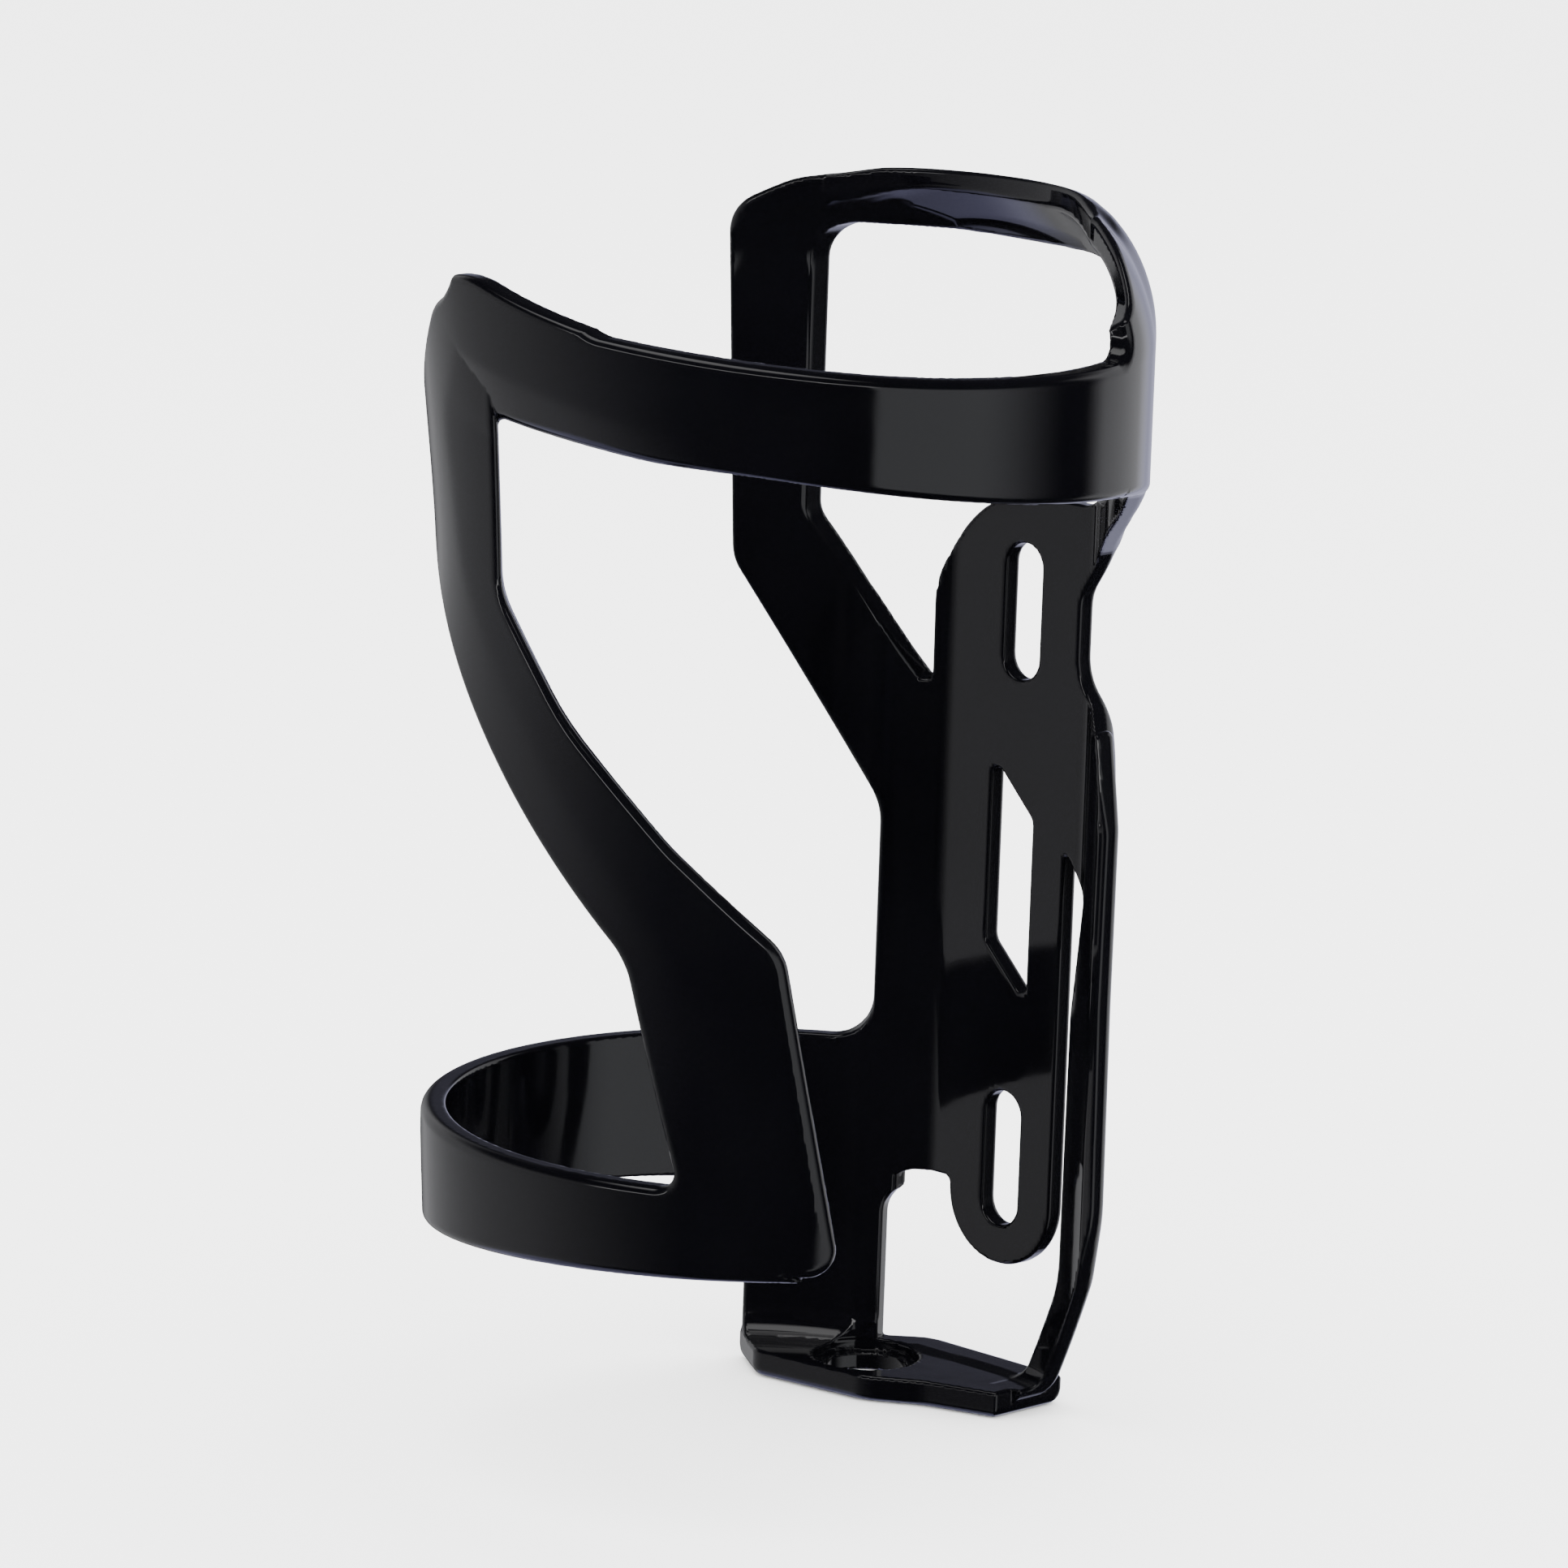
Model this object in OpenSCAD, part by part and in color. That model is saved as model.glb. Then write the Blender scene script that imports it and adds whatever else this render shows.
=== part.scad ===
// Side-entry water bottle cage, one glossy moulding built as its named members.
// The members stand round the bottle's axis, then the whole cage is moved so that
// the origin is the centre of the bolt pattern on the back of the mounting plate.
// +Z is up along the bottle, +Y points into the bicycle's frame tube.

/* [Bottle space] */
// Inner radius of the members that grip the bottle
bottle_r = 36.5; // [36:0.1:38]
// Wall thickness of the curved members
wall = 2.9; // [2.5:0.1:3.2]

/* [Mounting plate] */
// Distance from the bottle's axis to the plate's front face
plate_front = 37.5; // [37:0.1:38.5]
// Thickness of the plate
plate_t = 2.8; // [2.4:0.1:3.2]
// Half width of the plate's flat face
plate_half_w = 11; // [10.5:0.1:11.5]
// Distance between the two bolt slots
bolt_spacing = 64; // [62:0.5:66]
// Width of a bolt slot
slot_w = 5.5; // [5.2:0.1:6]
// Length of a bolt slot from end to end
slot_l = 15.8; // [12:0.2:17]
// Half width of the tongue that holds the lower slot
tongue_r = 7.9; // [7:0.1:8.2]

/* [Back] */
// Height of the top of the cage
top_z = 83.5; // [81:0.5:84]
// Radius of the curl at the top of the hoop
curl_r = 8; // [7:0.5:9]
// Height of the top of the window in the hoop
window_top = 75.2; // [74:0.2:76]
// Distance from the middle to the window's sides
window_half_w = 24.8; // [23.5:0.1:25.5]
// Distance from the axis to the left rail's outer edge, square to the edge_angle direction
rail_edge = 8.2; // [7.4:0.1:9]
// Angle round the bottle of the webs' outer edges, from the plate's middle
web_angle = 28; // [27:0.5:29]
// Angle round the bottle of the right rail's front edge, from +X
right_edge = 22.5; // [20:0.5:25]

/* [Front] */
// Height of the upper band's top edge at the cage's middle
band_top = 72.3; // [71.5:0.1:73]
// Slope of the upper band's top edge, rising to the left
band_top_tilt = 6; // [5:0.5:7]
// Height of the upper band's bottom edge at the cage's middle
band_bottom = 57.2; // [56.5:0.1:58]
// Slope of the upper band's bottom edge
band_bottom_tilt = 7; // [6:0.5:8]
// Outward lean of the arm's upper end
arm_lean = 6.5; // [4:0.5:7]
// Height where the lean begins
lean_from = 42; // [40:1:44]

/* [Base] */
// Height of the lower band's top edge
ring_top = -20.3; // [-22:0.1:-19]
// Height of the lower band's bottom edge at the cage's middle
ring_bottom = -33.2; // [-34:0.1:-32.5]
// Slope of the lower band's bottom edge, rising to the front right
ring_tilt = 5; // [4:0.5:6]
// Height of the face that the bottle stands on
rest_z = -56.5; // [-58:0.5:-55]
// Thickness of the bottle rest
rest_t = 3.2; // [2.6:0.1:3.6]
// Diameter of the tool hole
tool_hole_d = 9.6; // [8:0.1:10]
// Diameter of the tool hole's counterbore
tool_rim_d = 12.2; // [11:0.1:12.6]

/* [Hidden] */

$fn = 96;
arc_steps = 8;
big = 200;
outer_r = bottle_r + wall;
plate_back = plate_front + plate_t;
lobe_left = -12.5;                 // left edge of the plate's rounded top
tongue_bottom = -bolt_spacing / 2 - 12.5;
waist_x = 8.9;                     // plate's right edge beside the upper slot
rail_top = 71;                     // where the upright rails meet the hoop
band_root_z = 52.8;                // bottom of the right rail under the upper band
arm_bend = 42;                     // where the arm turns from upright to diagonal
arm_knee = 5;                      // where it turns upright again
corner_z = 60.5;                   // where the arm meets the upper band's corner
arm_left = -30.5;                  // left edge of the arm's upright part
arm_right = -5.1;                  // splits the arm's corner from the upper band
arm_cut_angle = -50;               // direction that the arm's right edge is cut along
side_angle = -48;                  // splits the front of the upper band from its side
root_angle = 139;                  // splits the lower band from its root
left_angle = 225;                  // splits the front of the lower band from its side
foot_z = -40;                      // where the right rail turns into its foot
edge_angle = 135;                  // direction that the left rail's outer edge is cut along
notch = [-12.9, 22.5];             // bottom of the gap between the plate and the left rail
web_top = 4.2;                     // where the right web begins beside the plate
leg_top = -35.7;                   // underside of the left web, on top of the left leg
rest_right = 4;                    // where the bottle rest meets the right foot
tool_hole_at = [-11.8, 28.7];
tool_rim_depth = 1.1;
lean_angle = 225;                  // direction that the arm's upper end leans in

// ---- outlines -----------------------------------------------------------

function unit(v) = v / norm(v);
function flat(p) = [p.x, p.y];

// Points of one corner b between a and c, rounded to the radius r
function corner(a, b, c, r) =
    r <= 0 ? [flat(b)] :
    let (u = unit(flat(a) - flat(b)), v = unit(flat(c) - flat(b)),
         half = acos(u * v) / 2,
         centre = flat(b) + unit(u + v) * r / sin(half),
         p = flat(b) + u * r / tan(half) - centre,
         q = flat(b) + v * r / tan(half) - centre,
         start = atan2(p.y, p.x),
         sweep = (atan2(q.y, q.x) - start + 540) % 360 - 180)
    [for (i = [0:arc_steps])
        centre + r * [cos(start + sweep * i / arc_steps), sin(start + sweep * i / arc_steps)]];

// Closed outline from corners [x, y, radius]
function rounded(pts) =
    let (n = len(pts))
    [for (i = [0:n - 1]) each corner(pts[(i + n - 1) % n], pts[i], pts[(i + 1) % n], pts[i][2])];

function on_circle(r, angle) = r * [cos(angle), sin(angle)];

// ---- shared shapes ------------------------------------------------------

// An outline in X and Z, made solid along Y
module along_y(y_low, y_high)
    translate([0, y_high, 0]) rotate([90, 0, 0]) linear_extrude(y_high - y_low) children();

module back_half() along_y(0, big) children();
module front_half() along_y(-big, 0) children();

// Curved wall round the bottle's axis between two heights
module shell(low, high, r = bottle_r)
    translate([0, 0, low]) difference() {
        cylinder(r = r + wall, h = high - low);
        translate([0, 0, -1]) cylinder(r = r, h = high - low + 2);
    }

// Everything between two angles round the axis, under 180 degrees apart
module sector(from, to, low, high)
    translate([0, 0, low]) linear_extrude(high - low)
        polygon([[0, 0], on_circle(big, from), on_circle(big, (from * 2 + to) / 3),
                 on_circle(big, (from + to * 2) / 3), on_circle(big, to)]);

// Everything below a plane through [0, 0, z] that rises towards an angle
module below(z, tilt, towards)
    translate([0, 0, z]) rotate([0, 0, towards]) rotate([0, -tilt, 0])
        translate([-big, -big, -big]) cube([2 * big, 2 * big, big]);

// The arm's upper end lies on a cylinder that leans out to the front left
module leaning_shell()
    translate([0, 0, lean_from]) rotate([0, 0, lean_angle]) rotate([0, arm_lean, 0])
        translate([0, 0, -lean_from]) shell(lean_from - 10, top_z + 5);

module gloss() color([0.045, 0.045, 0.055]) children();

// ---- mounting plate -----------------------------------------------------

plate_outline = rounded([
    [-tongue_r, tongue_bottom, tongue_r - 0.1], [tongue_r, tongue_bottom, tongue_r - 0.1],
    [tongue_r, web_top, 0.8], [plate_half_w, web_top, 0], [plate_half_w, 18, 3],
    [waist_x, 24.5, 4],
    [waist_x, 44.6, 0], [lobe_left, 45.6, 15], [lobe_left, 25, 2], [-plate_half_w, 22, 1],
    [-plate_half_w, leg_top, 0], [-tongue_r, leg_top, 0.5]]);

middle_slot = rounded([[-3.8, 14.8, 0.9], [2.8, 8.2, 1.6], [2.8, -13.2, 0.9], [-3.8, -6.8, 1.6]]);

module slot()
    union() {
        square([slot_w, slot_l - slot_w], center = true);
        for (end = [-1, 1]) translate([0, end * (slot_l - slot_w) / 2]) circle(d = slot_w);
    }

module mounting_plate() gloss()
    along_y(plate_front, plate_back) difference() {
        polygon(plate_outline);
        for (side = [-1, 1]) translate([0, side * bolt_spacing / 2]) slot();
        polygon(middle_slot);
    }

// ---- webs: slanting walls that join the flat plate to the round members ---

// Section of a web in X and Y; side is 1 on the right and -1 on the left
function web_section(side) =
    let (a = 90 - side * web_angle)
    [[side * plate_half_w, plate_front], on_circle(bottle_r, a),
     on_circle(outer_r, a), [side * plate_half_w, plate_back]];

left_outer = -outer_r * sin(web_angle);

// Inner edge of the left side in X and Z: the plate's side, the notch and the window
left_inner_outline = rounded([[-45, rail_top, 0], [-45, -36, 0], [-plate_half_w, -36, 0],
                              [-plate_half_w, notch.y + 0.5, 1.2], [notch.x, notch.y, 1.2],
                              [-window_half_w, 41, 4], [-window_half_w, rail_top, 0]]);

// Outer edge of the left side and the hoop's rounded left end, square to edge_angle
left_outer_outline = rounded([[-rail_edge, 76.2, 5], [1.7 - rail_edge, 35.3, 6], [11.6, 7.1, 8],
                              [11.6, -40, 0], [60, -40, 0], [60, 87, 0], [9, 82.4, 0],
                              [-1, 80.2, 10]]);

module left_outer_cut() rotate([0, 0, edge_angle - 90]) back_half() polygon(left_outer_outline);

module left_web() gloss()
    intersection() {
        translate([0, 0, -big / 2]) linear_extrude(big) polygon(web_section(-1));
        back_half() polygon(left_inner_outline);
        translate([0, 0, leg_top]) linear_extrude(big) square(big, center = true);
    }

module right_web() gloss()
    intersection() {
        translate([0, 0, -big / 2]) linear_extrude(big) polygon(web_section(1));
        back_half() polygon(rounded([[plate_half_w, web_top, 0], [14, 1, 2], [14, -5, 0], [25, -5, 0],
                                     [25, 9, 0], [17.5, 17, 5], [plate_half_w, 23, 3]]));
        back_half() polygon([[0, -1], [30, -1], [30, 30], [0, 30]]);
    }

// ---- upright members of the back ------------------------------------------

module left_rail_upper() gloss()
    intersection() {
        shell(arm_bend, rail_top);
        left_outer_cut();
        back_half() polygon(left_inner_outline);
    }

module left_rail_diagonal() gloss()
    intersection() {
        shell(0, arm_bend);
        left_outer_cut();
        back_half() polygon(left_inner_outline);
        sector(90 + web_angle, 200, 0, arm_bend);
    }

// Dome-shaped hoop: an upright wall that curls in over the bottle's shoulder
module hoop_section() {
    curl_z = top_z - curl_r;
    translate([bottle_r, rail_top]) square([wall, curl_z - rail_top]);
    translate([outer_r - curl_r, curl_z]) intersection() {
        difference() {
            circle(r = curl_r);
            circle(r = curl_r - wall);
        }
        square(curl_r);
    }
}

module hoop() gloss()
    intersection() {
        difference() {
            rotate([0, 0, right_edge]) rotate_extrude(angle = 160 - right_edge) hoop_section();
            back_half() polygon(rounded([[-window_half_w, 60, 0], [window_half_w, 60, 0],
                                         [window_half_w, window_top, 5],
                                         [-window_half_w, window_top, 5]]));
        }
        left_outer_cut();
        translate([0, 0, rail_top]) linear_extrude(20)
            polygon([[45, 10.5], [20, 24.5], [-20, 24.5], [-45, 10.5], [-45, 60], [45, 60]]);
    }

module right_rail_upper() gloss()
    difference() {
        intersection() {
            shell(band_root_z, rail_top);
            sector(right_edge, 80, band_root_z, rail_top);
        }
        back_half() polygon(rounded([[-40, 80, 0], [-40, 44, 0], [5, 44, 0], [window_half_w, 57, 4],
                                     [window_half_w, 80, 0]]));
    }

shoulder_outline = rounded([[45, 57, 0], [45, 53.6, 0], [34, 52.2, 2], [26, 50.4, 2],
                            [12.2, 40, 6], [waist_x, 33.5, 1.5], [waist_x, 44.6, 0],
                            [window_half_w, 57, 0]]);

module right_shoulder() gloss()
    intersection() {
        shell(30, band_root_z);
        back_half() polygon(shoulder_outline);
        sector(right_edge, 90 - web_angle, 30, band_root_z);
    }

module right_gusset() gloss()
    intersection() {
        translate([0, 0, 30]) linear_extrude(band_root_z - 30)
            polygon(concat(web_section(1), [[waist_x, plate_back], [waist_x, plate_front]]));
        back_half() polygon(shoulder_outline);
    }

// ---- lower right rail, its foot, the bottle rest and the left leg ---------

rail_from = 90 - web_angle;
rail_to = 71;

module right_rail_lower() gloss()
    intersection() {
        shell(foot_z, -1);
        sector(rail_from, rail_to, foot_z, -1);
    }

foot_outline = rounded([[18.4, foot_z, 0], [17.6, -42.5, 4], [7.2, rest_z - rest_t, 2.5],
                        [rest_right, rest_z - rest_t, 0], [rest_right, rest_z, 0],
                        [6.2, rest_z, 2], [12.6, -43.6, 4], [13, foot_z, 0]]);

// The foot follows the bottle's side, and reaches inwards only below the bottle
module right_foot() gloss()
    difference() {
        intersection() {
            along_y(31.5, big) polygon(foot_outline);
            translate([0, 0, -62]) cylinder(r = outer_r, h = 30);
        }
        translate([0, 0, rest_z]) cylinder(r = bottle_r, h = 30);
    }

module bottle_rest() gloss()
    translate([0, 0, rest_z - rest_t]) difference() {
        linear_extrude(rest_t) intersection() {
            polygon(rounded([[-29.5, 40, 0], [-29.5, 25, 2], [-21.5, 20.5, 3], [-6, 22, 6],
                             [0, 26, 6], [rest_right, 30.5, 0], [rest_right, 40, 0]]));
            circle(r = outer_r);
        }
        translate(concat(tool_hole_at, -1)) cylinder(d = tool_hole_d, h = rest_t + 2);
        translate(concat(tool_hole_at, rest_t - tool_rim_depth)) cylinder(d = tool_rim_d, h = 2);
    }

leg_from = 114;

module left_leg() gloss()
    intersection() {
        shell(rest_z, -30);
        sector(leg_from, root_angle, rest_z, -30);
        below(leg_top, 0, 0);
    }

// ---- lower band -------------------------------------------------------------

module band_bottom_cut() below(ring_bottom, ring_tilt, -51);

module lower_arc(from, to)
    difference() {
        intersection() {
            shell(-42, ring_top);
            sector(from, to, -42, ring_top);
        }
        band_bottom_cut();
    }

module lower_band_root() gloss()
    intersection() {
        shell(leg_top, -10);
        sector(90 + web_angle, root_angle, leg_top, -10);
        back_half() polygon(rounded([[-40, -36, 0], [-10, -36, 0], [-10, -12, 0],
                                     [left_outer, -12, 0], [left_outer, ring_top, 5],
                                     [-40, ring_top, 0]]));
    }

module lower_band_side() gloss() lower_arc(root_angle, left_angle);

// Right edge of the arm and of its foot, square to arm_cut_angle
arm_right_outline = rounded([[-60, 90, 0], [-31.4, 90, 0], [-29.6, 41.8, 5], [-21.4, 29.3, 0],
                             [-9.1, 16.9, 0], [3.6, 6.2, 6], [11, -31, 0.5], [-60, -31, 0]]);

module arm_right_cut()
    rotate([0, 0, arm_cut_angle + 90]) along_y(-big, 20) polygon(arm_right_outline);

// The front stretch runs on under the arm's foot to the foot's right edge
module lower_band_front() gloss()
    intersection() {
        lower_arc(left_angle, 335);
        arm_right_cut();
    }

// ---- arm ----------------------------------------------------------------------

// Left edge and top of the arm in X and Z
arm_left_outline = rounded([[arm_left - 0.3, 50, 0], [-22.6, 41, 6], [14, 4.3, 7], [20.2, -26.2, 0],
                            [45, -26.2, 0], [45, 54.2, 0], [3, 71, 0], [-10, 76.2, 9],
                            [-20.5, 73.2, 8], [arm_left + 1.3, 62, 8]]);

// The stretch of the arm between two heights
module arm_part(low, high)
    intersection() {
        children();
        front_half() polygon(arm_left_outline);
        arm_right_cut();
        translate([0, 0, low]) linear_extrude(high - low) square(big, center = true);
    }

module arm_foot() gloss() arm_part(ring_top, arm_knee) shell(ring_top, arm_knee);

module arm_diagonal() gloss() arm_part(arm_knee, arm_bend) shell(arm_knee, arm_bend);

module arm_upper() gloss() arm_part(arm_bend, corner_z) leaning_shell();

module arm_corner() gloss()
    intersection() {
        leaning_shell();
        front_half() polygon(arm_left_outline);
        front_half() polygon([[-40, corner_z], [arm_right, corner_z], [arm_right, 80], [-40, 80]]);
    }

// ---- upper band -----------------------------------------------------------------

module upper_cut()
    intersection() {
        difference() {
            children();
            below(band_bottom, band_bottom_tilt, 227);
        }
        below(band_top, band_top_tilt, 187);
    }

module upper_band_front() gloss()
    upper_cut() intersection() {
        leaning_shell();
        sector(-100, side_angle, 50, 80);
        front_half() polygon([[arm_right, 50], [45, 50], [45, 80], [arm_right, 80]]);
    }

module upper_band_side() gloss()
    upper_cut() intersection() {
        shell(50, 80);
        sector(side_angle, right_edge, 50, 80);
    }

// Moves the origin from the bottle's axis to the bolt pattern
module placed() translate([0, -plate_back, 0]) children();

placed() mounting_plate();
placed() left_web();
placed() left_rail_diagonal();
placed() left_rail_upper();
placed() hoop();
placed() right_rail_upper();
placed() right_shoulder();
placed() right_gusset();
placed() right_web();
placed() right_rail_lower();
placed() right_foot();
placed() bottle_rest();
placed() left_leg();
placed() lower_band_root();
placed() lower_band_side();
placed() lower_band_front();
placed() arm_foot();
placed() arm_diagonal();
placed() arm_upper();
placed() arm_corner();
placed() upper_band_front();
placed() upper_band_side();
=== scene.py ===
import math

import bmesh
import bpy
import numpy as np
from mathutils import Matrix, Vector

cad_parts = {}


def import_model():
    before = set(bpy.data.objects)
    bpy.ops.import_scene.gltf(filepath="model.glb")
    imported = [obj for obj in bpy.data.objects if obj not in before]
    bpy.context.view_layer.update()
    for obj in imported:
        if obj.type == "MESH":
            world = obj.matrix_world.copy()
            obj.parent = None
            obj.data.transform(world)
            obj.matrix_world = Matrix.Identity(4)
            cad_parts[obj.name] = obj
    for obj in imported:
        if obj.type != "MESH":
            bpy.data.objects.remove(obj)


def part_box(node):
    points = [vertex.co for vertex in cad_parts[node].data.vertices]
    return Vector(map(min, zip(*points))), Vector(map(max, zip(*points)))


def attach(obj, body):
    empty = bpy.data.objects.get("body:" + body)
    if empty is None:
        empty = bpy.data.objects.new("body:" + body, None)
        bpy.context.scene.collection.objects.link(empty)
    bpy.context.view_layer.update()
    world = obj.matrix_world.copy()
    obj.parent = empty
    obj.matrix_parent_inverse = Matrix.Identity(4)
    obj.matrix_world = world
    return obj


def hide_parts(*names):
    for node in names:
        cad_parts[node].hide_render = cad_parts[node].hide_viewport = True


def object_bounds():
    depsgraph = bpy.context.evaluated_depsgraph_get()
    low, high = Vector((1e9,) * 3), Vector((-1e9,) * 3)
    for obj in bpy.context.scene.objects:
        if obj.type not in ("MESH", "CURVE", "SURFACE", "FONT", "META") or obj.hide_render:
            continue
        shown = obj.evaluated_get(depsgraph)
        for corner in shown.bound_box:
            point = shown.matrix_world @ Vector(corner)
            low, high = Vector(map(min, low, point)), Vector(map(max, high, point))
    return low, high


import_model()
cad_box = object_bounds()

# The cage is one glossy moulding. Its skin is a single smooth field, in millimetres round
# the bottle's axis (+Z up, the mounting plate towards +Y). The field is turned into a mesh
# once, and the mesh is cut into one closed piece for each member of the CAD model.

MM = 0.001

# Driving sizes in millimetres, and angles round the axis in degrees
BOTTLE_R = 36.5
WALL = 2.9
OUTER_R = BOTTLE_R + WALL
PLATE_FRONT = 37.5
PLATE_T = 2.8
PLATE_HALF_W = 11.0
BOLT_SPACING = 64.0
SLOT_HALF_W = 2.75
SLOT_HALF_L = 7.9
TONGUE_R = 7.9
WINDOW_X = 24.8
WINDOW_TOP = 74.7
RIGHT_EDGE = 22.5
LIP_R = 31.4
LIP_TOP = 82.0
HOOP_RISE = 2.2
HOOP_WALL = 2.75
RING_TOP = -20.3
REST_Z = -56.5
REST_BOTTOM = -59.6
OUTER_EDGE = 1.15
INNER_EDGE = 0.4
PLATE_FLANK = (17.1, 32.2)
PLATE_CORNER_R = 2.5
HOOP_START = 60
HOOP_BEND_INSIDE = 4
HOOP_BEND_OUTSIDE = 5
SIDE_SLIM = 0.35
LEG_FROM = 114
LEG_TO = 138.7
LEG_TOP = -30
LEG_FILLET = 3.5
ROOT_END_X = -15
SIDE_BAND_X = 20
TOOL_R = 4.8
TOOL_RIM_R = 6.1
TOOL_RIM_DEPTH = 1.1
ARM_TURN = math.radians(40)
ARM_FILLET = 1.2
RIDGE_SOFTNESS = 1.2
CROWN_Z = 66
CROWN_X = 4
CROWN_FILLET = 5
UPPER_BAND_LEFT_X = -12
LOWER_BAND_RIGHT_X = 28.3
UPPER_BAND_FROM_Z = 50
# Fillet radius where two outlines lie flush, so small that the fillet doesn't bulge
FLUSH = 0.05
FAR = 1e3
VOXEL = 0.42

# The bottle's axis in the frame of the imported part
ORIGIN_Y = float(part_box("mounting_plate")[1].y / MM) - PLATE_FRONT - PLATE_T


# ---- distance fields ------------------------------------------------------------


def rmax(a, b, r):
    """Intersection with an edge rounded to the radius r."""
    return np.minimum(np.maximum(a, b), -r) + np.hypot(np.maximum(a + r, 0), np.maximum(b + r, 0))


def rmin(a, b, r):
    """Union with a fillet of the radius r."""
    return -rmax(-a, -b, r)


def smoothstep(value, low, high):
    t = np.clip((value - low) / (high - low), 0, 1)
    return t * t * (3 - 2 * t)


def soft_positive(value, width):
    """max(value, 0) with a soft knee."""
    return 0.5 * (value + np.sqrt(value * value + width * width))


def rounded(corners):
    """Closed outline from corners (x, y, radius)."""
    points = []
    for i, (x, y, r) in enumerate(corners):
        b = np.array([x, y], float)
        if r <= 0:
            points.append(b)
            continue
        a = np.array(corners[i - 1][:2], float)
        c = np.array(corners[(i + 1) % len(corners)][:2], float)
        u = (a - b) / np.linalg.norm(a - b)
        v = (c - b) / np.linalg.norm(c - b)
        half = math.acos(float(np.clip(u @ v, -1, 1))) / 2
        centre = b + (u + v) / np.linalg.norm(u + v) * r / math.sin(half)
        p = b + u * r / math.tan(half) - centre
        q = b + v * r / math.tan(half) - centre
        start = math.atan2(p[1], p[0])
        sweep = (math.atan2(q[1], q[0]) - start + 3 * math.pi) % (2 * math.pi) - math.pi
        steps = max(3, int(abs(sweep) / math.radians(5)))
        for k in range(steps + 1):
            angle = start + sweep * k / steps
            points.append(centre + r * np.array([math.cos(angle), math.sin(angle)]))
    return points


def polygon(px, py, corners):
    """Signed distance to a closed outline with rounded corners."""
    pts = rounded(corners)
    px, py = np.broadcast_arrays(px, py)
    nearest = np.full(px.shape, 1e9)
    outside = np.ones(px.shape)
    for i, b in enumerate(pts):
        a = pts[i - 1]
        e = b - a
        wx, wy = px - a[0], py - a[1]
        t = np.clip((wx * e[0] + wy * e[1]) / max(e @ e, 1e-12), 0, 1)
        nearest = np.minimum(nearest, (wx - e[0] * t) ** 2 + (wy - e[1] * t) ** 2)
        level = (a[1] <= py) != (b[1] <= py)
        crosses = level & ((e[0] * wy - e[1] * wx) * np.sign(e[1]) > 0)
        outside = np.where(crosses, -outside, outside)
    return outside * np.sqrt(nearest)


def slot(px, py, centre_y):
    dy = np.maximum(np.abs(py - centre_y) - (SLOT_HALF_L - SLOT_HALF_W), 0)
    return np.hypot(px, dy) - SLOT_HALF_W


def past(x, y, angle):
    """Distance past a radial plane, positive counter-clockwise of the angle."""
    a = math.radians(angle)
    return y * math.cos(a) - x * math.sin(a)


# ---- the moulding ---------------------------------------------------------------

# Outer edge of the left side, in the plane square to the diagonal at 135 degrees
LEFT_OUTER = (
    (-8.2, 76.2, 5), (-6.5, 35.3, 6), (11.5, 7.3, 8), (11.5, -60, 0), (60, -60, 0), (60, 84, 0),
    (9, 81.8, 0), (-1, 80.2, 8),
)
# Underside of the webs, the tongue and the right side, in X and Z
PLATE_AND_RIGHT = (
    (-60, -35.8, 0), (-8.0, -35.8, 0.8), (-TONGUE_R, -44.5, TONGUE_R - 0.1),
    (TONGUE_R, -44.5, TONGUE_R - 0.1), (TONGUE_R, 4.9, 0.5), (8.6, 4.9, 0.5), (12.6, -0.8, 2),
    (12.6, -7, 0), (19, -7, 0), (19.2, 10.5, 6), (16.3, 18.6, 8), (8.9, 25.6, 6), (8.9, 35.2, 5),
    (12.4, 40.6, 6), (25.8, 50.4, 5), (36, 53.0, 0), (60, 56, 0), (60, 95, 0), (-60, 95, 0),
)
# The hoop's ends are cut back in plan
HOOP_PLAN = ((-60, 2, 0), (-20, 24.5, 6), (20, 24.5, 6), (60, 2, 0), (60, 60, 0), (-60, 60, 0))
WINDOW = (
    (-WINDOW_X, WINDOW_TOP, 5), (-WINDOW_X, 41, 4), (-13.6, 22.3, 1.3), (-12.6, 22.3, 1.0),
    (-12.7, 45.6, 14), (9.5, 45.6, 3), (WINDOW_X, 57, 4), (WINDOW_X, WINDOW_TOP, 9),
)
MIDDLE_SLOT = ((-3.8, 14.8, 0.9), (2.8, 8.2, 1.6), (2.8, -13.2, 0.9), (-3.8, -6.8, 1.6))
# Left edge and top of the arm in X and Z
ARM_LEFT = (
    (-31.6, 50, 14), (-24.4, 41, 12), (12.8, 4.3, 9), (19.1, -20.3, 0), (20, -24, 0), (26, -24, 0),
    (27, -29.87, 0), (60, -29.87, 0), (60, 47, 0), (3, 70.8, 0), (-10, 75.6, 8), (-19.3, 71.4, 8),
    (-30.2, 58.5, 12),
)
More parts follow.
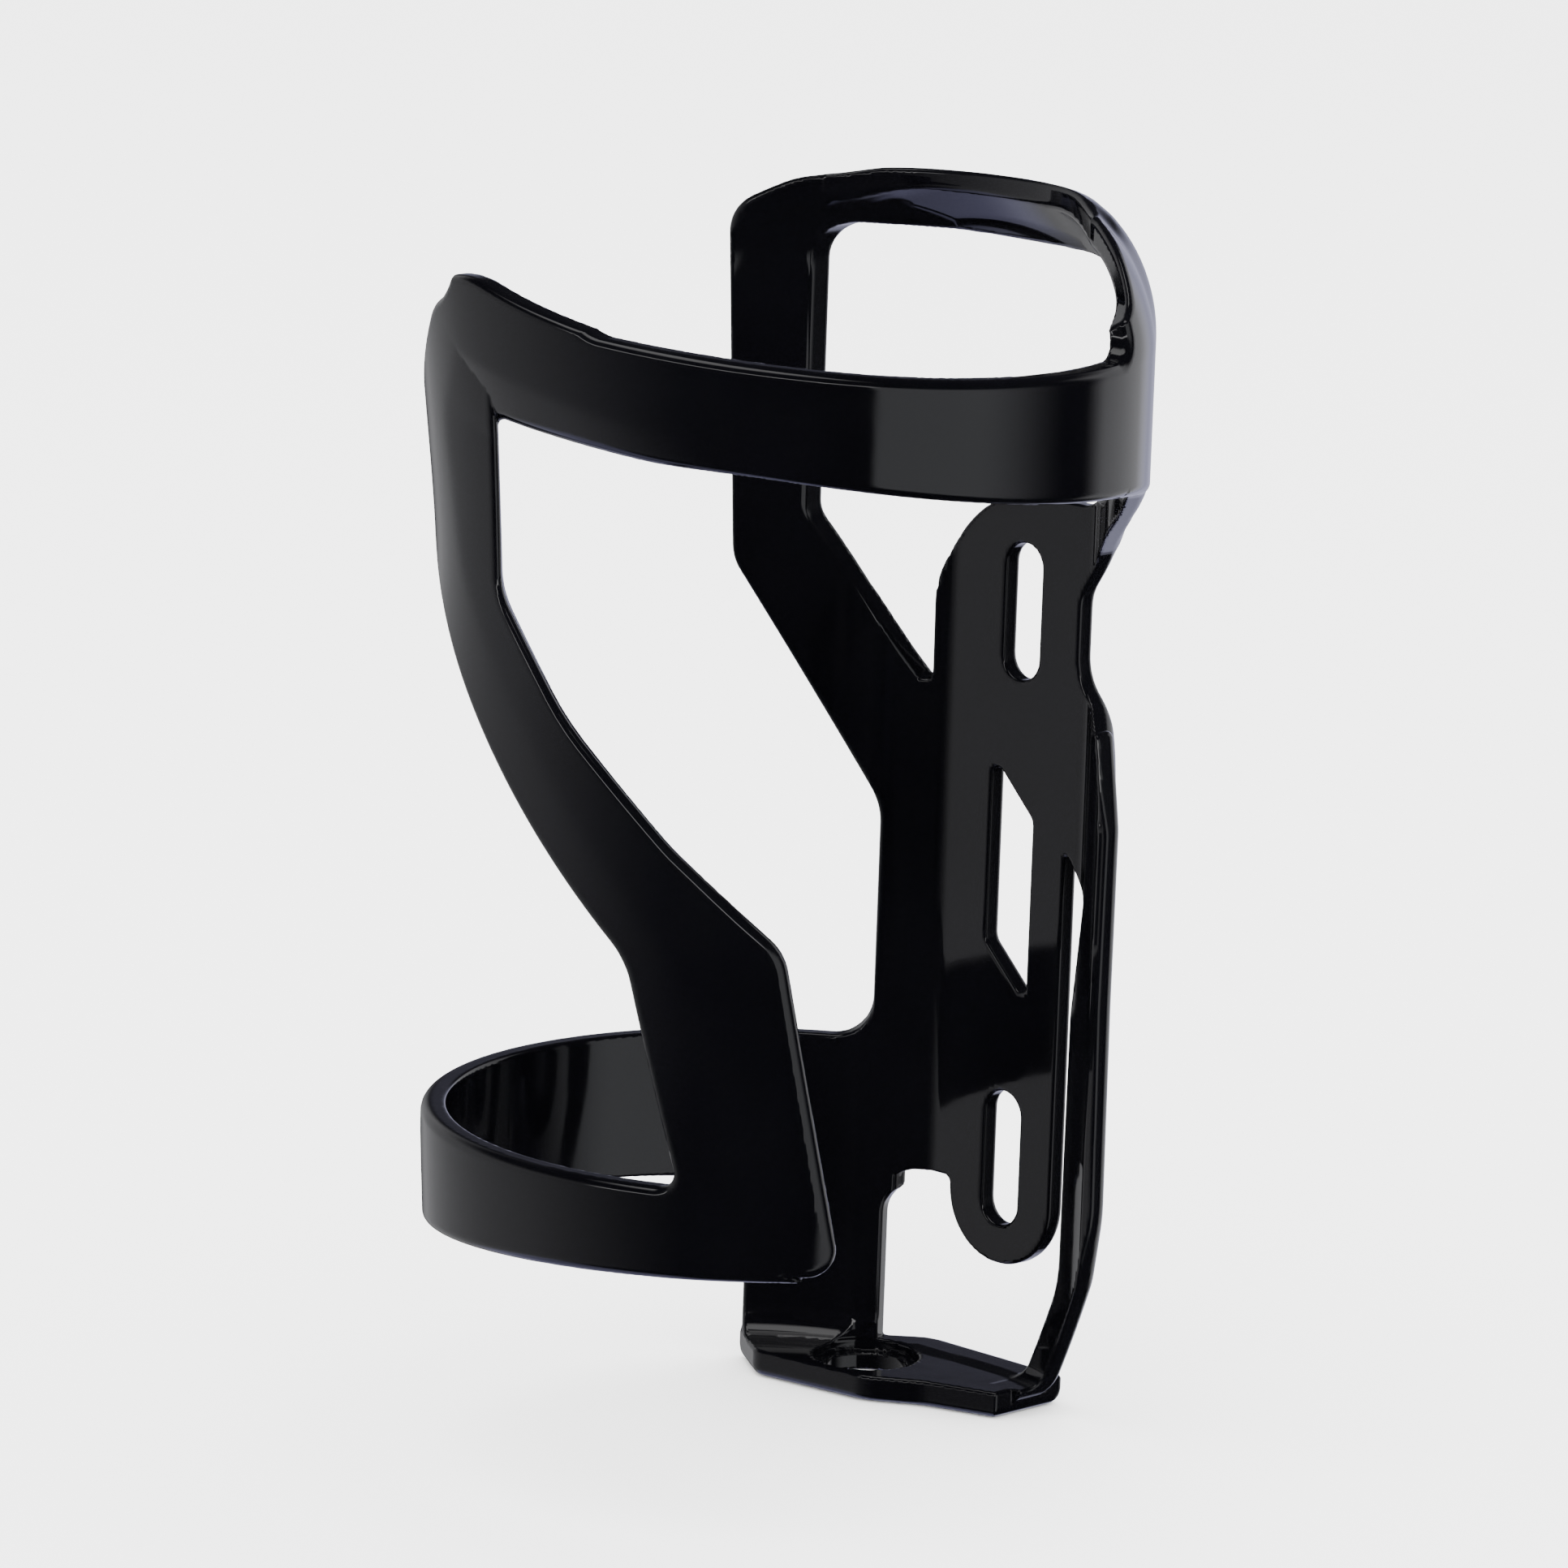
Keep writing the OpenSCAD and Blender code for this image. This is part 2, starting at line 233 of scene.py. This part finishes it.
# Right edge of the arm, in the plane square to the diagonal at -50 degrees
ARM_RIGHT = (
    (-60, -29.87, 0), (10.8, -29.87, 3), (3.6, 6.2, 6), (-9.1, 16.9, 30), (-21.4, 29.3, 30),
    (-29.5, 41.5, 8), (-31.2, 76, 0), (-60, 76, 0),
)
RIDGE = (
    (-13.5, 90, 0), (-12.5, 67.4, 2), (-17, 60, 8), (-14, 43, 14), (12.5, 11.8, 16), (19.6, 2.5, 12),
    (26, -40, 0), (-80, -40, 0), (-80, 90, 0),
)
RAIL_AND_FOOT = (
    (16.9, 21.3, 0.8), (19.8, 10.5, 6), (19.6, -10, 0), (20.0, -34.5, 12), (17.8, -42.7, 8),
    (8.6, REST_BOTTOM, 6), (2, REST_BOTTOM, 0), (2, REST_Z, 0), (6.2, REST_Z, 3),
    (12.6, -43.6, 12), (12.9, -12, 10), (15.0, 2, 10), (15.1, 21.3, 0.8),
)
REST = (
    (-29.2, 45, 0), (-29.2, 25.2, 2), (-21.3, 20.0, 2.5), (-5.8, 22.0, 6), (0, 25.8, 8),
    (9, 28.8, 0), (9, 45, 0),
)
TOOL_HOLE = (-11.8, 28.7)


def band_bottom(x, y):
    return -34.1 + 0.07 * x - 0.0695 * y


def lower_band(x, y, z):
    return np.maximum(z - RING_TOP, band_bottom(x, y) - z)


def upper_band(x, y, z):
    top = 72.0 - 0.105 * x - 0.013 * y
    low = 57.2 - 0.083 * x - 0.09 * y - 0.7 * smoothstep(-x, -26, -12)
    return np.maximum(z - top, low - z)


def band_taper(z):
    """The lower band's wall leans in a little towards its bottom edge."""
    return np.minimum(0.05 * soft_positive(RING_TOP - 3 - z, 1.5), 0.7)


def back_faces(x, y, z, r):
    """Inner and outer face behind the axis: the shell, the plate's bump and the hoop's cone."""
    flank_x, flank_y = PLATE_FLANK
    bump = polygon(x, y, (
        (-flank_x, flank_y, 0), (0, 0, 0), (flank_x, flank_y, 0),
        (PLATE_HALF_W, PLATE_FRONT, PLATE_CORNER_R), (-PLATE_HALF_W, PLATE_FRONT, PLATE_CORNER_R)))
    wall = WALL - band_taper(z) * smoothstep(-x, 19, 26) - SIDE_SLIM * smoothstep(x, 20, 30)
    inner = rmin(r - BOTTLE_R, bump, 0.5)
    outer = rmin(r - BOTTLE_R - wall, bump - PLATE_T, 0.5)
    cone = (r + z - LIP_R - LIP_TOP - HOOP_RISE * smoothstep(y, 24.5, 31)) / math.sqrt(2)
    inner = np.where(z > HOOP_START, rmax(inner, cone + HOOP_WALL, HOOP_BEND_INSIDE), inner)
    outer = np.where(z > HOOP_START, rmax(outer, cone, HOOP_BEND_OUTSIDE), outer)
    return inner, outer


def body_outline(x, y, z, r):
    """Plate, webs, rails and hoop, with the window and the slots cut out."""
    holes = np.minimum(polygon(x, z, WINDOW), polygon(x, z, MIDDLE_SLOT))
    for side in (-1, 1):
        holes = np.minimum(holes, slot(x, z, side * BOLT_SPACING / 2))
    body = np.maximum(polygon(x, z, PLATE_AND_RIGHT), -holes)
    body = np.maximum(body, polygon((x + y) / math.sqrt(2), z, LEFT_OUTER))
    body = np.maximum(body, -past(x, y, RIGHT_EDGE) - 10 * soft_positive(30 - z, 1))
    ends = polygon(x, y, HOOP_PLAN) - 1.5 * soft_positive(73 - z, 1)
    lip = LIP_R + 0.2 - r - soft_positive(66 - z, 1)
    return rmax(body, np.maximum(ends, lip), 0.6)


def back_outline(x, y, z, r):
    """The body with the lower band's root, the left leg, the upper band's side and the rest."""
    root = np.maximum(lower_band(x, y, z), x - ROOT_END_X)
    left = rmin(body_outline(x, y, z, r), root, FLUSH + 4.5 * smoothstep(z, -33, -27))
    leg = np.maximum(-past(x, y, LEG_FROM), past(x, y, LEG_TO))
    leg = np.maximum(leg, np.maximum(z - LEG_TOP, REST_Z + 0.1 - z))
    left = rmin(left, leg, LEG_FILLET)
    side_band = np.maximum(upper_band(x, y, z), SIDE_BAND_X - x)
    shell = rmin(left, side_band, FLUSH + 3 * smoothstep(z, 56, 62))
    rest = np.maximum(polygon(x, y, REST), z - REST_Z - 0.3)
    return np.minimum(shell, rest)


def rail_and_foot(x, y, z, r):
    """The right rail below its web, and the foot that carries it in under the bottle."""
    outline = polygon(x, z, RAIL_AND_FOOT)
    inside = np.maximum(-rmax(r - BOTTLE_R, REST_Z - z, 2.0), 31.5 - y)
    outside = rmax(r - OUTER_R, REST_BOTTOM - z, 4.5)
    return np.maximum(rmax(outside, outline, OUTER_EDGE), rmax(inside, outline, INNER_EDGE))


def tool_hole(x, y, z):
    """Stepped round hole through the bottle rest."""
    from_centre = np.hypot(x - TOOL_HOLE[0], y - TOOL_HOLE[1])
    rim = np.maximum(from_centre - TOOL_RIM_R, REST_Z - TOOL_RIM_DEPTH - z)
    return np.maximum(np.minimum(from_centre - TOOL_R, rim), z - REST_Z - 2)


def back_field(x, y, z):
    """Plate, webs, rails, hoop, left leg and bottle rest: everything behind the axis."""
    r = np.hypot(x, y)
    inner, outer = back_faces(x, y, z, r)
    outline = back_outline(x, y, z, r)
    cavity = rmax(inner, REST_Z - z, 3.6)
    envelope = rmax(outer, REST_BOTTOM - z, 1.8)
    sheet = np.maximum(rmax(envelope, outline, OUTER_EDGE), rmax(-cavity, outline, INNER_EDGE))
    solid = np.minimum(sheet, rail_and_foot(x, y, z, r))
    return rmax(solid, -tool_hole(x, y, z), 0.25)


def leaning_radius(x, y, z):
    """Radius in front of the axis, smaller by what the arm's upper end leans out."""
    r = np.hypot(x, y)
    lean = 0.115 * soft_positive(z - 44, 6)
    towards = np.clip((-x - y) / (np.maximum(r, 1) * math.sqrt(2)), 0, 1)
    return r - lean * towards ** 2 * (2 - towards)


def front_walls(x, z):
    """Wall of the arm and lower band, and of the upper band, thinned beside each crease."""
    ridge = polygon(x, z, RIDGE)
    right = soft_positive(ridge, RIDGE_SOFTNESS)
    left = soft_positive(-ridge, RIDGE_SOFTNESS)
    arm_wall = WALL - 0.13 * right - 0.025 * smoothstep(z, 30, 44) * left
    foot_wall = WALL - 0.13 * soft_positive(x - 22.5 - (z + 12) / 10, 1.5) - band_taper(z)
    low = smoothstep(-z, -14, 6)
    crease = 67.3 - 0.185 * (x + 12.5)
    fade = 0.28 * (1 - smoothstep(x, 0, 27))
    slim = SIDE_SLIM * smoothstep(x, 20, 32)
    band_wall = WALL - fade * soft_positive(crease - z, 0.6) - 0.025 * left - slim
    return arm_wall * (1 - low) + foot_wall * low, band_wall


def front_outlines(x, y, z):
    """The arm with the lower band, and the arm with the upper band."""
    left_edge = polygon(x, z, ARM_LEFT)
    across = math.cos(ARM_TURN) * x + math.sin(ARM_TURN) * y
    arm = np.maximum(left_edge, polygon(across, z, ARM_RIGHT))
    band = np.maximum(upper_band(x, y, z), UPPER_BAND_LEFT_X - x)
    crown = np.maximum(np.maximum(left_edge, CROWN_Z - z), x - CROWN_X)
    upper = np.minimum(rmin(band, arm, ARM_FILLET), rmin(band, crown, CROWN_FILLET))
    lower = np.maximum(lower_band(x, y, z), x - LOWER_BAND_RIGHT_X)
    lower = rmin(lower, arm, FLUSH + 2.2 * smoothstep(-x, -26, -22))
    return lower, upper


def front_field(x, y, z):
    """Arm and both bands: everything in front of the axis."""
    r = leaning_radius(x, y, z)
    wall, band_wall = front_walls(x, z)
    lower, upper = front_outlines(x, y, z)
    upper = np.where(z > UPPER_BAND_FROM_Z, upper, FAR)

    def sheet(wall, outline):
        return np.maximum(rmax(r - BOTTLE_R - wall, outline, OUTER_EDGE),
                          rmax(BOTTLE_R - r, outline, INNER_EDGE))

    return np.minimum(sheet(wall, lower), sheet(band_wall, upper))


def moulding(x, y, z):
    """The field at separate points: negative inside the plastic."""
    value = np.empty(len(x))
    for part, field in ((y >= 0, back_field), (y < 0, front_field)):
        value[part] = field(x[part], y[part], z[part])
    return value


def slope(points):
    """Gradient of the field at separate points."""
    step = 0.06
    gradient = np.empty(points.shape)
    for axis in range(3):
        shift = np.zeros(3)
        shift[axis] = step
        ahead, behind = moulding(*(points + shift).T), moulding(*(points - shift).T)
        gradient[:, axis] = (ahead - behind) / (2 * step)
    return gradient


# ---- field to mesh --------------------------------------------------------------


def sample_grid():
    low = np.array([-44.0, -44.2, -61.5])
    high = np.array([42.0, 42.4, 84.0])
    axes = [np.arange(a, b, VOXEL) for a, b in zip(low, high)]
    x, y, z = axes[0][:, None, None], axes[1][None, :, None], axes[2][None, None, :]
    back = axes[1] >= 0
    grid = np.empty([len(a) for a in axes], np.float32)
    grid[:, back, :] = back_field(x, y[:, back, :], z)
    grid[:, ~back, :] = front_field(x, y[:, ~back, :], z)
    return grid, low


def surface_net(grid, low):
    """One point in each cell that the surface crosses, and one quad for each crossed edge."""
    inside = grid < 0
    counts = np.zeros([n - 1 for n in grid.shape], np.int8)
    corners = [(i, j, k) for i in (0, 1) for j in (0, 1) for k in (0, 1)]
    size = counts.shape
    for i, j, k in corners:
        counts += inside[i:i + size[0], j:j + size[1], k:k + size[2]]
    cells = np.argwhere((counts > 0) & (counts < 8))
    index = np.full(size, -1, np.int32)
    index[tuple(cells.T)] = np.arange(len(cells))
    value = {c: grid[tuple((cells + c).T)] for c in corners}
    total = np.zeros((len(cells), 3))
    hits = np.zeros(len(cells))
    for a in corners:
        for axis in range(3):
            if a[axis]:
                continue
            b = tuple(1 if n == axis else v for n, v in enumerate(a))
            va, vb = value[a], value[b]
            cut = (va < 0) != (vb < 0)
            t = va[cut] / (va[cut] - vb[cut])
            spot = np.tile(np.array(a, float), (len(t), 1))
            spot[:, axis] += t
            total[cut] += spot
            hits[cut] += 1
    points = low + (cells + total / hits[:, None]) * VOXEL
    quads = []
    for axis in range(3):
        u, v = (axis + 1) % 3, (axis + 2) % 3
        ahead = np.roll(inside, -1, axis)
        crossed = np.argwhere(inside != ahead)
        limits = np.array(grid.shape) - 1
        crossed = crossed[np.all((crossed > 0) & (crossed < limits), axis=1)]
        ring = []
        for du, dv in ((-1, -1), (0, -1), (0, 0), (-1, 0)):
            cell = crossed.copy()
            cell[:, u] += du
            cell[:, v] += dv
            ring.append(index[tuple(cell.T)])
        ring = np.stack(ring, 1)
        flip = ~inside[tuple(crossed.T)]
        ring[flip] = ring[flip][:, ::-1]
        quads.append(ring)
    return points, np.concatenate(quads)


def settle(points):
    """Moves each point onto the surface."""
    for _ in range(3):
        gradient = slope(points)
        size = np.maximum((gradient ** 2).sum(1), 0.05)
        move = -moulding(*points.T)[:, None] * gradient / size[:, None]
        length = np.linalg.norm(move, axis=1, keepdims=True)
        points = points + move * np.minimum(1, 0.5 * VOXEL / np.maximum(length, 1e-9))
    return points


def skin_mesh():
    points, quads = surface_net(*sample_grid())
    mesh = bpy.data.meshes.new("moulding")
    mesh.from_pydata(settle(points).tolist(), [], quads.tolist())
    mesh.shade_smooth()
    return mesh


# ---- cutting the skin into members ----------------------------------------------


def radial(angle, keep):
    """Plane through the axis; keep is 1 to keep the counter-clockwise side."""
    a = math.radians(angle)
    return (0, 0, 0), (keep * math.sin(a), -keep * math.cos(a), 0)


def x_below(value):
    return (value, 0, 0), (1, 0, 0)


def x_above(value):
    return (value, 0, 0), (-1, 0, 0)


def z_below(value):
    return (0, 0, value), (0, 0, 1)


def z_above(value):
    return (0, 0, value), (0, 0, -1)


BACK = ((0, 0, 0), (0, -1, 0))
FRONT = ((0, 0, 0), (0, 1, 0))
CLEAR_OF_TONGUE = ((9, 0, -40), (-0.8, 0, 0.6))

# The planes that bound each member, in the order that discards most first
MEMBERS = {
    "mounting_plate": (BACK, x_above(-13), x_below(11), z_below(60), z_above(-47)),
    "left_web": (BACK, x_above(-19), x_below(-13), z_below(60), z_above(-36)),
    "left_rail_diagonal": (BACK, x_below(-19), z_below(42), z_above(-5)),
    "left_rail_upper": (BACK, x_below(-20), z_below(71), z_above(42)),
    "hoop": (z_above(71), BACK),
    "right_rail_upper": (z_above(53), z_below(71), radial(17.5, 1), x_above(11)),
    "right_shoulder": (z_above(30), z_below(53), radial(17.5, 1), x_above(17.5)),
    "right_gusset": (BACK, x_above(11), x_below(17.5), z_above(30), z_below(60)),
    "right_web": (BACK, x_above(11), z_below(30), z_above(-1)),
    "right_rail_lower": (BACK, x_above(11), z_below(-1), z_above(-40)),
    "right_foot": (z_below(-40), BACK, CLEAR_OF_TONGUE, x_above(4)),
    "bottle_rest": (z_below(-56), BACK, x_below(4)),
    "left_leg": (BACK, z_below(-36), z_above(-56), x_below(-13), radial(139, -1)),
    "lower_band_root": (BACK, x_below(-19), z_below(-5), z_above(-36), radial(139, -1)),
    "lower_band_side": (z_below(-5), z_above(-50), radial(139, 1), radial(225, -1)),
    "lower_band_front": (FRONT, z_below(-17.8), radial(225, 1)),
    "arm_foot": (FRONT, z_below(5), z_above(-17.8)),
    "arm_diagonal": (FRONT, z_below(42), z_above(5)),
    "arm_upper": (FRONT, z_below(59), z_above(42), x_below(-3.5)),
    "arm_corner": (FRONT, z_above(59), x_below(-3.5)),
    "upper_band_front": (FRONT, z_above(45), x_above(-3.5), radial(312, -1)),
    "upper_band_side": (z_above(45), x_above(10), radial(-48, 1), radial(17.5, -1)),
}


def keep_half(bm, plane):
    """Cuts off what lies beyond a plane and closes the cut with flat faces."""
    point, outward = plane
    cut = bmesh.ops.bisect_plane(
        bm, geom=bm.verts[:] + bm.edges[:] + bm.faces[:], dist=1e-5,
        plane_co=point, plane_no=outward, clear_outer=True)
    rim = [e for e in cut["geom_cut"] if isinstance(e, bmesh.types.BMEdge) and e.is_boundary]
    if rim:
        for face in bmesh.ops.edgeloop_fill(bm, edges=rim)["faces"]:
            face.smooth = False
            if face.normal.dot(Vector(outward)) < 0:
                face.normal_flip()


def cut_member(name, skin):
    bm = bmesh.new()
    bm.from_mesh(skin)
    for plane in MEMBERS[name]:
        keep_half(bm, plane)
    caps = [f for f in bm.faces if len(f.verts) > 4]
    bmesh.ops.triangulate(bm, faces=caps)
    mesh = bpy.data.meshes.new(name + "_skin")
    bm.to_mesh(mesh)
    bm.free()
    return mesh


def true_normals(mesh):
    """Shades the skin with the field's own slope, so that no joint between members shows."""
    points = np.empty(len(mesh.vertices) * 3)
    mesh.vertices.foreach_get("co", points)
    normals = slope(points.reshape(-1, 3))
    normals /= np.maximum(np.linalg.norm(normals, axis=1, keepdims=True), 1e-9)
    corner = np.empty(len(mesh.loops), int)
    mesh.loops.foreach_get("vertex_index", corner)
    smooth = np.empty(len(mesh.polygons), bool)
    mesh.polygons.foreach_get("use_smooth", smooth)
    sizes = np.empty(len(mesh.polygons), int)
    mesh.polygons.foreach_get("loop_total", sizes)
    per_corner = normals[corner]
    per_corner[np.repeat(~smooth, sizes)] = 0
    return per_corner


def place(mesh):
    normals = true_normals(mesh)
    mesh.transform(Matrix.Translation((0, ORIGIN_Y * MM, 0)) @ Matrix.Scale(MM, 4))
    mesh.normals_split_custom_set(normals.tolist())


# ---- material -------------------------------------------------------------------


def gloss_black():
    """Deep gloss black moulding: faint flow marks, fine ripple and dust-fine gloss breaks."""
    material = bpy.data.materials.new("gloss_black")
    material.use_nodes = True
    nodes, links = material.node_tree.nodes, material.node_tree.links
    shader = nodes["Principled BSDF"]
    shader.inputs["IOR"].default_value = 1.5
    shader.inputs["Coat Weight"].default_value = 0.0
    place_at = nodes.new("ShaderNodeTexCoord")

    def noise(scale, detail):
        node = nodes.new("ShaderNodeTexNoise")
        node.inputs["Scale"].default_value = scale
        node.inputs["Detail"].default_value = detail
        links.new(place_at.outputs["Object"], node.inputs["Vector"])
        return node

    def ramp(source, stops):
        node = nodes.new("ShaderNodeValToRGB")
        node.color_ramp.elements[0].position, node.color_ramp.elements[0].color = stops[0]
        node.color_ramp.elements[1].position, node.color_ramp.elements[1].color = stops[1]
        links.new(source, node.inputs["Fac"])
        return node

    tint = ramp(noise(28, 3).outputs["Fac"],
                ((0.35, (0.0006, 0.0006, 0.0009, 1)), (0.7, (0.0012, 0.0012, 0.0017, 1))))
    links.new(tint.outputs["Color"], shader.inputs["Base Color"])
    sheen = ramp(noise(160, 5).outputs["Fac"],
                 ((0.3, (0.035, 0.035, 0.035, 1)), (0.75, (0.1, 0.1, 0.1, 1))))
    links.new(sheen.outputs["Color"], shader.inputs["Roughness"])
    ripple = nodes.new("ShaderNodeBump")
    ripple.inputs["Strength"].default_value = 0.05
    ripple.inputs["Distance"].default_value = 0.00025
    links.new(noise(170, 2).outputs["Fac"], ripple.inputs["Height"])
    links.new(ripple.outputs["Normal"], shader.inputs["Normal"])
    return material


# ---- stage ----------------------------------------------------------------------


def floor():
    """Wide pale floor at the lowest point of the cage."""
    mesh = bpy.data.meshes.new("floor")
    half = 6.0
    low = cad_box[0].z
    corners = [(-half, -half, low), (half, -half, low), (half, half, low), (-half, half, low)]
    mesh.from_pydata(corners, [], [(0, 1, 2, 3)])
    obj = bpy.data.objects.new("floor", mesh)
    bpy.context.scene.collection.objects.link(obj)
    material = bpy.data.materials.new("pale_floor")
    material.use_nodes = True
    shader = material.node_tree.nodes["Principled BSDF"]
    shader.inputs["Base Color"].default_value = (0.86, 0.86, 0.86, 1)
    shader.inputs["Roughness"].default_value = 0.9
    mesh.materials.append(material)
    obj.visible_glossy = False


def direction(azimuth, elevation):
    """From the object towards a light or camera; azimuth 0 is in front, along -Y."""
    a, e = math.radians(azimuth), math.radians(elevation)
    return Vector((math.sin(a) * math.cos(e), -math.cos(a) * math.cos(e), math.sin(e)))


# Soft panels that only the gloss sees: azimuth edges, azimuth fades, elevation edges, fade,
# brightness and tint; azimuth 0 is in front of the cage and 90 on its right
PANELS = (
    ((-132, 22), (20, 75), (-55, 40), 22, 0.52, (1.0, 1.0, 1.02)),
    ((-172, -128), (14, 14), (-60, 20), 16, 0.95, (0.74, 0.74, 1.0)),
    ((68, 142), (3, 40), (-45, 32), 16, 0.95, (0.98, 1.0, 1.03)),
    ((150, 205), (14, 14), (-40, 40), 16, 0.85, (1.0, 1.0, 1.03)),
    ((-150, -30), (20, 20), (-84, -34), 12, 0.85, (0.62, 0.62, 1.0)),
    ((-20, 75), (8, 8), (17, 25), 4, 5.0, (1.0, 1.0, 1.0)),
    ((-100, 100), (20, 20), (58, 95), 12, 2.2, (1.0, 1.0, 1.0)),
)
PANEL_LEVEL = (0.022, 0.022, 0.028)
SURROUND_STRENGTH = 5.0


def world():
    """White surroundings for the floor's light and the view, soft panels in the reflections."""
    made = bpy.data.worlds.new("studio")
    bpy.context.scene.world = made
    made.use_nodes = True
    nodes, links = made.node_tree.nodes, made.node_tree.links

    def maths(operation, a, b=None):
        node = nodes.new("ShaderNodeMath")
        node.operation = operation
        for socket, value in zip(node.inputs, (a, b)):
            if isinstance(value, (int, float)):
                socket.default_value = value
            elif value is not None:
                links.new(value, socket)
        return node.outputs[0]

    def ease(value, low, high):
        node = nodes.new("ShaderNodeMapRange")
        node.interpolation_type = "SMOOTHSTEP"
        node.inputs["From Min"].default_value = math.radians(low)
        node.inputs["From Max"].default_value = math.radians(high)
        links.new(value, node.inputs["Value"])
        return node.outputs["Result"]

    heading = nodes.new("ShaderNodeSeparateXYZ")
    links.new(nodes.new("ShaderNodeTexCoord").outputs["Generated"], heading.inputs[0])
    azimuth = maths("ARCTAN2", heading.outputs["X"], maths("MULTIPLY", heading.outputs["Y"], -1))
    elevation = maths("ARCSINE", heading.outputs["Z"])
    total = None
    for (a0, a1), (fade0, fade1), (e0, e1), fade, brightness, tint in PANELS:
        angle = azimuth
        if a1 > 180 - fade1:
            angle = maths("FLOORED_MODULO", azimuth, 2 * math.pi)
        shape = maths("MULTIPLY", ease(angle, a0, a0 + fade0), ease(angle, a1, a1 - fade1))
        tall = maths("MULTIPLY", ease(elevation, e0, e0 + fade), ease(elevation, e1, e1 - fade))
        panel = nodes.new("ShaderNodeVectorMath")
        panel.operation = "SCALE"
        panel.inputs[0].default_value = tint
        glow = maths("MULTIPLY", maths("MULTIPLY", shape, tall), brightness)
        links.new(glow, panel.inputs["Scale"])
        if total is None:
            total = panel
            continue
        added = nodes.new("ShaderNodeVectorMath")
        links.new(total.outputs[0], added.inputs[0])
        links.new(panel.outputs[0], added.inputs[1])
        total = added
    dim = nodes.new("ShaderNodeVectorMath")
    dim.inputs[1].default_value = PANEL_LEVEL
    links.new(total.outputs[0], dim.inputs[0])
    mirrored = nodes.new("ShaderNodeBackground")
    links.new(dim.outputs[0], mirrored.inputs["Color"])
    plain = nodes["Background"]
    plain.inputs["Color"].default_value = (1, 1, 1, 1)
    plain.inputs["Strength"].default_value = SURROUND_STRENGTH
    paths = nodes.new("ShaderNodeLightPath")
    mix = nodes.new("ShaderNodeMixShader")
    links.new(paths.outputs["Is Glossy Ray"], mix.inputs["Fac"])
    links.new(plain.outputs["Background"], mix.inputs[1])
    links.new(mirrored.outputs["Background"], mix.inputs[2])
    links.new(mix.outputs["Shader"], nodes["World Output"].inputs["Surface"])


def key_light():
    """A large soft light overhead that grounds the cage on the floor."""
    light = bpy.data.lights.new("key", "AREA")
    light.size = 1.6
    light.energy = 25
    obj = bpy.data.objects.new("key", light)
    obj.location = CENTRE + Vector((0.1, -0.2, 1.5))
    obj.visible_camera = False
    obj.visible_glossy = False
    bpy.context.scene.collection.objects.link(obj)


def camera():
    """Long lens, a metre from the bottle's axis, seen from the front right and a little above."""
    azimuth, elevation, roll = 44.5, 12.0, math.radians(2.0)
    aim_right, aim_up = 0.00052, 0.0164
    data = bpy.data.cameras.new("camera")
    data.lens = 206.2
    data.sensor_width = 36.0
    obj = bpy.data.objects.new("camera", data)
    back = direction(azimuth, elevation)
    level = Vector((math.cos(math.radians(azimuth)), math.sin(math.radians(azimuth)), 0))
    up = back.cross(level)
    right = level * math.cos(roll) + up * math.sin(roll)
    above = up * math.cos(roll) - level * math.sin(roll)
    axis = Vector((0, ORIGIN_Y * MM, 0))
    turn = Matrix((right, above, back)).transposed()
    place_at = axis + right * aim_right + above * aim_up + back
    obj.matrix_world = Matrix.Translation(place_at) @ turn.to_4x4()
    bpy.context.scene.collection.objects.link(obj)
    bpy.context.scene.camera = obj


CENTRE = (cad_box[0] + cad_box[1]) / 2
floor()
world()
camera()
key_light()

plastic = gloss_black()
skin = skin_mesh()
for node in MEMBERS:
    shape = cut_member(node, skin)
    place(shape)
    shape.materials.append(plastic)
    piece = bpy.data.objects.new("moulded_" + node, shape)
    bpy.context.scene.collection.objects.link(piece)
    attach(piece, "root")
    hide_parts(node)
bpy.data.meshes.remove(skin)
